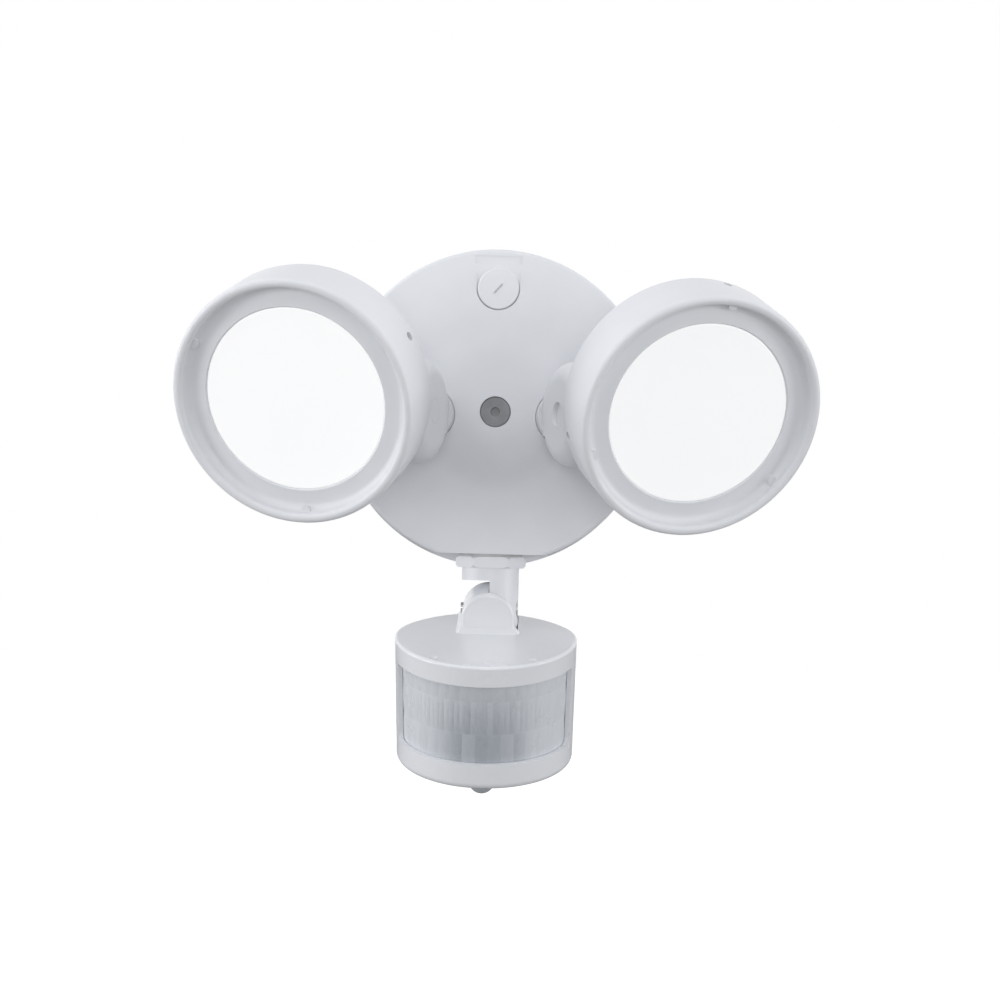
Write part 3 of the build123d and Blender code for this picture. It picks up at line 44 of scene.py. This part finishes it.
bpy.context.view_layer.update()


# ---------------------------------------------------------------- material helpers
class Shade:
    """One node material on object coordinates, so noise scales are features per metre."""

    def __init__(self, name, base, roughness, metallic=0.0, specular=0.5, coat=0.0):
        self.material = bpy.data.materials.new(name)
        self.material.use_nodes = True
        self.tree = self.material.node_tree
        self.shader = self.tree.nodes["Principled BSDF"]
        self.shader.inputs["Base Color"].default_value = (*base, 1.0)
        self.shader.inputs["Roughness"].default_value = roughness
        self.shader.inputs["Metallic"].default_value = metallic
        self.shader.inputs["Specular IOR Level"].default_value = specular
        self.shader.inputs["Coat Weight"].default_value = coat
        self.roughness = roughness
        coords = self.node("ShaderNodeTexCoord")
        self.place = coords.outputs["Object"]

    def node(self, kind, **values):
        made = self.tree.nodes.new(kind)
        for key, value in values.items():
            setattr(made, key, value)
        return made

    def link(self, source, target):
        self.tree.links.new(source, target)

    def noise(self, scale, detail=3.0, rough=0.5, stretch=None):
        made = self.node("ShaderNodeTexNoise")
        made.inputs["Scale"].default_value = scale
        made.inputs["Detail"].default_value = detail
        made.inputs["Roughness"].default_value = rough
        if stretch:
            mapping = self.node("ShaderNodeMapping")
            mapping.inputs["Scale"].default_value = stretch
            self.link(self.place, mapping.inputs["Vector"])
            self.link(mapping.outputs["Vector"], made.inputs["Vector"])
        else:
            self.link(self.place, made.inputs["Vector"])
        return made.outputs["Fac"]

    def ramp(self, value, low, high, out_low, out_high):
        made = self.node("ShaderNodeMapRange")
        made.inputs["From Min"].default_value = low
        made.inputs["From Max"].default_value = high
        made.inputs["To Min"].default_value = out_low
        made.inputs["To Max"].default_value = out_high
        self.link(value, made.inputs["Value"])
        return made.outputs["Result"]

    def math(self, operation, first, second=None):
        made = self.node("ShaderNodeMath", operation=operation)
        for socket, value in zip(made.inputs, (first, second)):
            if value is None:
                continue
            if isinstance(value, (int, float)):
                socket.default_value = value
            else:
                self.link(value, socket)
        return made.outputs["Value"]

    def mix(self, factor, first, second):
        made = self.node("ShaderNodeMix", data_type="RGBA")
        for socket, value in ((made.inputs["Factor"], factor), (made.inputs["A"], first),
                              (made.inputs["B"], second)):
            if isinstance(value, tuple):
                socket.default_value = (*value, 1.0)
            elif isinstance(value, (int, float)):
                socket.default_value = value
            else:
                self.link(value, socket)
        return made.outputs["Result"]

    def bump(self, height, strength, distance):
        made = self.node("ShaderNodeBump")
        made.inputs["Strength"].default_value = strength
        made.inputs["Distance"].default_value = distance
        self.link(height, made.inputs["Height"])
        previous = self.shader.inputs["Normal"].links
        if previous:
            self.link(previous[0].from_socket, made.inputs["Normal"])
        self.link(made.outputs["Normal"], self.shader.inputs["Normal"])

    def vary_roughness(self, value, spread):
        self.link(self.ramp(value, 0.3, 0.7, self.roughness - spread, self.roughness + spread),
                  self.shader.inputs["Roughness"])

    def edges(self, width=0.0006):
        """1 on edges, over this width, and 0 on flat faces."""
        bevel = self.node("ShaderNodeBevel", samples=4)
        bevel.inputs["Radius"].default_value = width
        geometry = self.node("ShaderNodeNewGeometry")
        dot = self.node("ShaderNodeVectorMath", operation="DOT_PRODUCT")
        self.link(bevel.outputs["Normal"], dot.inputs[0])
        self.link(geometry.outputs["Normal"], dot.inputs[1])
        return self.ramp(dot.outputs["Value"], 0.995, 0.9, 0.0, 1.0)

    def crevice(self, distance):
        """0 deep in corners and 1 on open faces."""
        shade = self.node("ShaderNodeAmbientOcclusion", samples=8)
        shade.inputs["Distance"].default_value = distance
        return shade.outputs["AO"]

    def colour(self, source):
        self.link(source, self.shader.inputs["Base Color"])


def tint(colour, gain):
    return tuple(channel * gain for channel in colour)


# ---------------------------------------------------------------- materials
def powder_coat(name, base, roughness):
    """White powder coat: orange peel about 1 mm across, faint mottling and painted shade in corners."""
    made = Shade(name, base, roughness, specular=0.45)
    peel = made.noise(1150, detail=2.0, rough=0.45)
    grain = made.noise(4200, detail=2.0)
    cloud = made.noise(38, detail=4.0, rough=0.6)
    made.bump(peel, 0.20, 0.00006)
    made.bump(grain, 0.12, 0.00002)
    made.vary_roughness(cloud, 0.05)
    tone = made.mix(made.ramp(cloud, 0.35, 0.65, 0.0, 1.0), tint(base, 0.985), tint(base, 1.01))
    worn = made.math("MULTIPLY", made.edges(), made.ramp(made.noise(260, 3.0), 0.5, 0.68, 0.0, 0.35))
    tone = made.mix(worn, tone, tint(base, 0.90))
    # painted shade: corners and recesses darkened toward grey by ambient occlusion
    corner_shade = made.ramp(made.crevice(0.003), 0.2, 0.8, 0.22, 0.0)
    made.colour(made.mix(corner_shade, tone, (0.62, 0.615, 0.60)))
    return made.material


def moulded(name, base, roughness, coat=0.0):
    """Injection-moulded plastic: fine spark texture, soft flow marks, slight sink in tone, a painted
    highlight on edges in patches and painted shade in corners.
    """
    made = Shade(name, base, roughness, specular=0.5, coat=coat)
    texture = made.noise(3600, detail=2.0)
    wave = made.noise(120, detail=2.0, rough=0.4)
    cloud = made.noise(30, detail=3.0)
    made.bump(wave, 0.05, 0.0002)
    made.bump(texture, 0.10, 0.00002)
    made.vary_roughness(cloud, 0.04)
    tone = made.mix(made.ramp(cloud, 0.35, 0.65, 0.0, 1.0), tint(base, 0.985), tint(base, 1.01))
    # painted highlight: edges made lighter in patches
    edge_highlight = made.math("MULTIPLY", made.edges(0.0005), made.ramp(made.noise(300), 0.5, 0.7, 0.0, 0.3))
    tone = made.mix(edge_highlight, tone, tint(base, 1.05))
    # painted shade: corners and recesses darkened by ambient occlusion
    corner_shade = made.ramp(made.crevice(0.0025), 0.2, 0.8, 0.18, 0.0)
    made.colour(made.mix(corner_shade, tone, tint(base, 0.7)))
    return made.material


def metal(name, base, roughness, stretch=None):
    made = Shade(name, base, roughness, metallic=1.0)
    brushed = made.noise(900, detail=3.0, stretch=stretch or (1.0, 1.0, 6.0))
    cloud = made.noise(80, detail=4.0, rough=0.7)
    made.bump(brushed, 0.15, 0.00004)
    made.vary_roughness(cloud, 0.09)
    tone = made.mix(made.ramp(cloud, 0.3, 0.7, 0.0, 1.0), tint(base, 0.88), tint(base, 1.06))
    # painted highlight: every edge made 20% lighter than the face
    made.colour(made.mix(made.edges(0.0004), tone, tint(base, 1.2)))
    return made.material


def rubber(name, base, roughness, pore=2600):
    made = Shade(name, base, roughness, specular=0.3)
    fine = made.noise(pore, detail=3.0, rough=0.6)
    cloud = made.noise(140, detail=3.0)
    made.bump(fine, 0.35, 0.00006)
    made.vary_roughness(cloud, 0.06)
    tone = made.mix(made.ramp(cloud, 0.3, 0.7, 0.0, 1.0), tint(base, 0.85), tint(base, 1.12))
    # painted highlight: edges made lighter than the face
    made.colour(made.mix(made.math("MULTIPLY", made.edges(0.0004), 0.4), tone, tint(base, 1.35)))
    return made.material


def board(name, base):
    """Circuit board: solder mask with faint tracks and a woven glass ground."""
    made = Shade(name, base, 0.38)
    weave = made.noise(1600, detail=1.0)
    tracks = made.node("ShaderNodeTexVoronoi", feature="DISTANCE_TO_EDGE")
    tracks.inputs["Scale"].default_value = 260
    made.link(made.place, tracks.inputs["Vector"])
    line = made.ramp(tracks.outputs["Distance"], 0.03, 0.07, 1.0, 0.0)
    made.bump(weave, 0.15, 0.00004)
    made.bump(line, 0.4, 0.00006)
    made.vary_roughness(made.noise(90), 0.05)
    made.colour(made.mix(made.math("MULTIPLY", line, 0.5), tint(base, 0.95), tint(base, 1.5)))
    return made.material


def opal(name, base, glow):
    """Opal diffuser: smooth, milky, lit evenly from behind."""
    made = Shade(name, base, 0.28, specular=0.4)
    soft = made.noise(700, detail=2.0)
    cloud = made.noise(22, detail=2.0)
    made.bump(soft, 0.04, 0.00004)
    made.vary_roughness(cloud, 0.03)
    made.colour(made.mix(made.ramp(cloud, 0.3, 0.7, 0.0, 1.0), tint(base, 0.985), base))
    made.shader.inputs["Emission Color"].default_value = (1.0, 1.0, 1.0, 1.0)
    made.shader.inputs["Emission Strength"].default_value = glow
    return made.material


CASE_WHITE = (0.80, 0.81, 0.84)   # coated metal and the small plastic caps
coat_white = powder_coat("powder_coat_white", CASE_WHITE, 0.42)
plastic_white = moulded("moulded_white", CASE_WHITE, 0.36)
sensor_white = moulded("sensor_white", (0.81, 0.82, 0.85), 0.24, coat=0.15)
lens_white = opal("opal_lens", (0.93, 0.93, 0.93), 0.28)
rubber_grey = rubber("rubber_grey", (0.30, 0.30, 0.31), 0.62)
seal_grey = rubber("seal_rubber_grey", (0.55, 0.55, 0.56), 0.6)
foam_black = rubber("foam_black", (0.03, 0.03, 0.032), 0.85, pore=1500)
zinc = metal("zinc_plate", (0.62, 0.63, 0.65), 0.34)
steel = metal("screw_steel", (0.50, 0.50, 0.51), 0.3)
green_screw = metal("green_screw", (0.08, 0.32, 0.14), 0.35)
driver_black = moulded("driver_black", (0.02, 0.02, 0.022), 0.5)
reflector_white = moulded("reflector_white", (0.86, 0.86, 0.86), 0.2, coat=0.2)
board_white = board("board_white", (0.75, 0.76, 0.74))
board_green = board("board_green", (0.02, 0.15, 0.05))
phosphor = moulded("phosphor_yellow", (0.75, 0.58, 0.08), 0.4)
dome_grey = moulded("dome_grey", (0.46, 0.48, 0.52), 0.16, coat=0.4)
dial_grey = moulded("dial_grey", (0.07, 0.07, 0.075), 0.42)
can_metal = metal("sensor_can", (0.66, 0.66, 0.68), 0.2)


FILM_DARK, FILM_PALE = (0.20, 0.225, 0.27), (0.80, 0.82, 0.85)   # colours at tone 0 and 1


def fresnel_film():
    """Milky lens film: its tone, painted shade included, comes from the sheet, with fine rings and a
    painted highlight at the edge of each lens cell.
    """
    made = Shade("fresnel_film", (0.60, 0.63, 0.67), 0.30, specular=0.45)
    cell = made.node("ShaderNodeAttribute", attribute_name="cell")
    parts = made.node("ShaderNodeSeparateXYZ")
    made.link(cell.outputs["Vector"], parts.inputs["Vector"])
    across, along, tone = (parts.outputs[axis] for axis in "XYZ")
    reach = made.math("ADD", made.math("MULTIPLY", across, across), made.math("MULTIPLY", along, along))
    rings = made.math("SINE", made.math("MULTIPLY", reach, 30.0))
    made.bump(rings, 0.10, 0.00008)
    made.bump(made.noise(1400, detail=2.0), 0.06, 0.00003)
    cloud = made.noise(120)
    made.vary_roughness(cloud, 0.05)
    streak = made.ramp(made.noise(700, detail=2.0, stretch=(1.0, 1.0, 0.05)), 0.3, 0.7, -0.02, 0.02)
    level = made.math("ADD", tone, streak)
    # painted highlight: each cell made lighter toward its edges, along the grooves
    groove_highlight = made.ramp(made.math("MAXIMUM", made.math("ABSOLUTE", across), made.math("ABSOLUTE", along)),
                    0.86, 1.0, 0.0, 0.035)
    level = made.math("ADD", level, groove_highlight)
    made.colour(made.mix(level, FILM_DARK, FILM_PALE))
    return made


finishes = {
    "canopy_housing": coat_white, "wall_gasket": foam_black, "mounting_strap": zinc,
    "ground_screw": green_screw, "centre_screw": steel, "centre_plug": rubber_grey,
    "access_plug": plastic_white, "access_plug_seal": seal_grey, "led_driver": driver_black,
    "driver_screws": steel, "stem_seal": seal_grey, "sensor_stem": coat_white,
    "stem_locknut": coat_white, "stem_inner_nut": zinc, "pivot_screw": steel, "pivot_nut": zinc,
    "sensor_rear": sensor_white, "sensor_front": sensor_white, "sensor_board": board_green,
    "pir_element": can_metal, "photocell": dome_grey, "time_dial": dial_grey,
    "range_dial": dial_grey, "sensor_screws": steel, "fresnel_lens": fresnel_film().material,
}
for name in ("left", "right"):
    finishes.update({
        f"{name}_arm": coat_white, f"{name}_arm_nut": zinc, f"{name}_arm_seal": seal_grey,
        f"{name}_knuckle_screw": steel, f"{name}_knuckle_washer": foam_black,
        f"{name}_knuckle_nut": zinc, f"{name}_knuckle_cap": plastic_white,
        f"{name}_head_housing": coat_white, f"{name}_bezel": coat_white,
        f"{name}_bezel_screws": steel, f"{name}_lens": lens_white,
        f"{name}_lens_gasket": foam_black, f"{name}_reflector": reflector_white,
        f"{name}_led_board": board_white, f"{name}_led_chips": phosphor,
    })
for name, material in finishes.items():
    for slot in nodes[name].material_slots:
        slot.material = material

# ---------------------------------------------------------------- sensor window
FILM_R = 0.03898           # outer radius of the film at the window's top
FILM_T = 0.0008
FILM_DRAFT = math.radians(1.0)
WINDOW_TOP, WINDOW_HEIGHT = -0.0159, 0.0372   # below the hinge, and down from there
WINDOW_ANGLE = math.radians(73.0)
FILM_LAP = 0.0013          # the film runs this far behind the frame
FILM_CENTRE = (-0.0007, -0.020)   # axis of the film from the hinge: to the right, and back
ROWS = ((0.0, 0.22, 20), (0.22, 0.64, 40), (0.64, 1.0, 17))   # from, to, lens cells
ROW_UNEVEN = (0.012, 0.035, 0.055)   # how far the tone strays from cell to cell in each row
CELL_BULGE = 0.00025
CELL_RISE_STEPS, CELL_WIDE_STEPS = 12, 6
BACK_STEPS = 60            # around the plain inner face
BACK_TONE = 0.6
# painted shade: the window is made darker in the middle and lower down
SIDE_TONE, MIDDLE_SHADE = 0.80, 0.44
MIDDLE_ANGLE = math.radians(33.0)   # half the width of the painted shade in the middle


def window_tone(angle, drop, row, column):
    """Pale at the sides, with painted shade darker in the middle and lower down for the dark inside seen
    through the film, uneven from cell to cell.
    """
    shade_depth = min(1.0, 0.30 + 1.15 * drop)
    middle = math.exp(-abs(angle / MIDDLE_ANGLE) ** 3)
    uneven = math.sin(column * 2.4 + row * 1.7) * ROW_UNEVEN[row]
    return SIDE_TONE - MIDDLE_SHADE * shade_depth * middle + uneven * (0.35 + middle)


def sensor_window():
    """Sheet of lens cells in three rows, bulged between fine grooves."""
    hinge = Vector(joints["sensor_tilt"]["pos_m"])
    up = -Vector(joints["time_dial_turn"]["axis"]).normalized()
    right = Vector(joints["sensor_tilt"]["axis"]).normalized()
    back = up.cross(right)
    lap_angle = FILM_LAP / FILM_R
    verts, faces, cells = [], [], []

    def point(angle, height, inset):
        radius = FILM_R - (WINDOW_TOP - height) * math.tan(FILM_DRAFT) - inset
        return (hinge + right * (FILM_CENTRE[0] + radius * math.sin(angle))
                + back * (FILM_CENTRE[1] - radius * math.cos(angle)) + up * height)

    def patch(angles, heights, value):
        """Outer face over this patch, each cell with its own corner values."""
        first = len(verts)
        for height in heights:
            for angle in angles:
                across, along, tone = value(angle, height)
                bulge = CELL_BULGE * (1 - across * across) * (1 - along * along)
                verts.append(point(angle, height, CELL_BULGE - bulge))
        wide = len(angles)
        for line in range(len(heights) - 1):
            for step in range(wide - 1):
                corner = first + line * wide + step
                faces.append((corner, corner + wide, corner + wide + 1, corner + 1))
                for index in faces[-1]:
                    place = index - first
                    cells.append(value(angles[place % wide], heights[place // wide]))

    for row, (start, end, count) in enumerate(ROWS):
        top = WINDOW_TOP - WINDOW_HEIGHT * start + (FILM_LAP if row == 0 else 0.0)
        low = WINDOW_TOP - WINDOW_HEIGHT * end - (FILM_LAP if row == len(ROWS) - 1 else 0.0)
        heights = [top + (low - top) * step / CELL_RISE_STEPS for step in range(CELL_RISE_STEPS + 1)]
        span = 2 * (WINDOW_ANGLE + lap_angle) / count
        for column in range(count):
            left = -WINDOW_ANGLE - lap_angle + span * column
            angles = [left + span * step / CELL_WIDE_STEPS for step in range(CELL_WIDE_STEPS + 1)]

            def value(angle, height, left=left, top=top, low=low, row=row, column=column):
                drop = (WINDOW_TOP - height) / WINDOW_HEIGHT
                return (2 * (angle - left) / span - 1, 2 * (height - low) / (top - low) - 1,
                        window_tone(angle, drop, row, column))

            patch(angles, heights, value)
    outer = len(verts)
    # plain inner face and the four narrow edges
    angles = [(2 * step / BACK_STEPS - 1) * (WINDOW_ANGLE + lap_angle) for step in range(BACK_STEPS + 1)]
    heights = [WINDOW_TOP + FILM_LAP, WINDOW_TOP - WINDOW_HEIGHT - FILM_LAP]
    for inset in (CELL_BULGE, FILM_T):
        for height in heights:
            verts.extend(point(angle, height, inset) for angle in angles)
    wide = len(angles)
    loops = [outer + wide * number for number in range(4)]   # front top, front low, back top, back low
    for step in range(wide - 1):
        front_top, front_low, back_top, back_low = (start + step for start in loops)
        faces.extend(((back_top, back_top + 1, back_low + 1, back_low),
                      (front_top, front_top + 1, back_top + 1, back_top),
                      (front_low, back_low, back_low + 1, front_low + 1)))
    front_top, front_low, back_top, back_low = loops
    faces.extend(((front_top, back_top, back_low, front_low),
                  (front_top + wide - 1, front_low + wide - 1, back_low + wide - 1, back_top + wide - 1)))
    while len(cells) < sum(len(face) for face in faces):
        cells.append((0.0, 0.0, BACK_TONE))
    mesh = bpy.data.meshes.new("fresnel_sheet")
    mesh.from_pydata([tuple(vert) for vert in verts], [], faces)
    stored = mesh.attributes.new("cell", "FLOAT_VECTOR", "CORNER")
    for index, value in enumerate(cells):
        stored.data[index].vector = value
    mesh.shade_smooth()
    mesh.materials.append(finishes["fresnel_lens"])
    made = bpy.data.objects.new("fresnel_sheet", mesh)
    bpy.context.scene.collection.objects.link(made)
    return made


window = sensor_window()
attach(window, "sensor")
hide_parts("fresnel_lens")

# ---------------------------------------------------------------- camera
PITCH, YAW, ROLL = math.radians(1.06), math.radians(0.79), math.radians(1.5)
FOCAL_MM, SENSOR_MM = 99.07, 36.0
eye = Vector((-0.014, -1.3, -0.0659))
gaze = Vector((math.sin(YAW) * math.cos(PITCH), math.cos(YAW) * math.cos(PITCH), math.sin(PITCH)))
camera_data = bpy.data.cameras.new("camera")
camera_data.lens = FOCAL_MM
camera_data.sensor_width = SENSOR_MM
camera_data.clip_start = 0.01
camera_data.clip_end = 50.0
camera = bpy.data.objects.new("camera", camera_data)
bpy.context.scene.collection.objects.link(camera)
camera.matrix_world = (Matrix.Translation(eye) @ gaze.to_track_quat("-Z", "Y").to_matrix().to_4x4()
                       @ Matrix.Rotation(ROLL, 4, "Z"))
bpy.context.scene.camera = camera


# ---------------------------------------------------------------- light
def lamp(name, place, aim, size, power):
    data = bpy.data.lights.new(name, "AREA")
    data.shape = "DISK"
    data.size = size
    data.energy = power
    made = bpy.data.objects.new(name, data)
    bpy.context.scene.collection.objects.link(made)
    made.location = place
    made.rotation_euler = (aim - place).to_track_quat("-Z", "Y").to_euler()


LIGHT_AIM = Vector((0.0, -0.08, -0.03))
LIGHT_DISTANCE, LIGHT_SIZE = 2.0, 0.7
AMBIENT = 0.57
# name, degrees to the right of the front, degrees up, watts
for name, azimuth, elevation, power in (
        ("left", -75, 0, 10.1), ("right", 75, 0, 9.3), ("front", 0, 0, 5.0), ("top", 0, 75, 4.1),
        ("far_left", -100, 0, 4.0), ("key", -40, 40, 3.6), ("front_right", 40, 0, 3.0),
        ("high_left", -100, 40, 2.2), ("high_right", 100, 40, 1.7), ("front_left", -40, 0, 1.3)):
    across, rise = math.radians(azimuth), math.radians(elevation)
    outward = Vector((math.sin(across) * math.cos(rise), -math.cos(across) * math.cos(rise),
                      math.sin(rise)))
    lamp(name, LIGHT_AIM + LIGHT_DISTANCE * outward, LIGHT_AIM, LIGHT_SIZE, power)

# the world lights the object with AMBIENT, and is white to the camera and in reflections
world = bpy.data.worlds.new("studio")
bpy.context.scene.world = world
world.use_nodes = True
tree = world.node_tree
tree.nodes.clear()
output = tree.nodes.new("ShaderNodeOutputWorld")
blend = tree.nodes.new("ShaderNodeMixShader")
ambient = tree.nodes.new("ShaderNodeBackground")
ambient.inputs["Color"].default_value = (0.95, 0.97, 1.0, 1.0)
ambient.inputs["Strength"].default_value = AMBIENT
backdrop = tree.nodes.new("ShaderNodeBackground")
backdrop.inputs["Color"].default_value = (1.0, 1.0, 1.0, 1.0)
backdrop.inputs["Strength"].default_value = 1.0
path = tree.nodes.new("ShaderNodeLightPath")
mirrored = tree.nodes.new("ShaderNodeMath")
mirrored.operation = "MAXIMUM"
seen = tree.nodes.new("ShaderNodeMath")
seen.operation = "MAXIMUM"
tree.links.new(path.outputs["Is Glossy Ray"], mirrored.inputs[0])
tree.links.new(path.outputs["Is Transmission Ray"], mirrored.inputs[1])
tree.links.new(path.outputs["Is Camera Ray"], seen.inputs[0])
tree.links.new(mirrored.outputs[0], seen.inputs[1])
tree.links.new(seen.outputs[0], blend.inputs[0])
tree.links.new(ambient.outputs[0], blend.inputs[1])
tree.links.new(backdrop.outputs[0], blend.inputs[2])
tree.links.new(blend.outputs[0], output.inputs["Surface"])

# ---------------------------------------------------------------- floor
FLOOR_HALF = 12.0
FLOOR_LEVEL = -0.62
FLOOR_GREY = (0.30, 0.30, 0.30)   # kept dark, so that little light bounces up from it
FLOOR_GLOW = 0.92                 # seen by the camera alone, so that the floor comes out white
floor_mesh = bpy.data.meshes.new("floor")
shape = bmesh.new()
bmesh.ops.create_grid(shape, x_segments=2, y_segments=2, size=FLOOR_HALF)
shape.to_mesh(floor_mesh)
shape.free()
floor = bpy.data.objects.new("floor", floor_mesh)
floor.location = (0.0, 0.0, FLOOR_LEVEL)
bpy.context.scene.collection.objects.link(floor)
floor_shade = Shade("floor_white", FLOOR_GREY, 0.8, specular=0.1)
floor_shade.bump(floor_shade.noise(60), 0.02, 0.001)
floor_shade.colour(floor_shade.mix(floor_shade.noise(3.0), (0.29, 0.29, 0.29), (0.31, 0.31, 0.31)))
light_path = floor_shade.node("ShaderNodeLightPath")
floor_shade.shader.inputs["Emission Color"].default_value = (1.0, 1.0, 1.0, 1.0)
floor_shade.link(floor_shade.math("MULTIPLY", light_path.outputs["Is Camera Ray"], FLOOR_GLOW),
                 floor_shade.shader.inputs["Emission Strength"])
floor_mesh.materials.append(floor_shade.material)

# ---------------------------------------------------------------- colour
scene = bpy.context.scene
scene.view_settings.view_transform = "Standard"
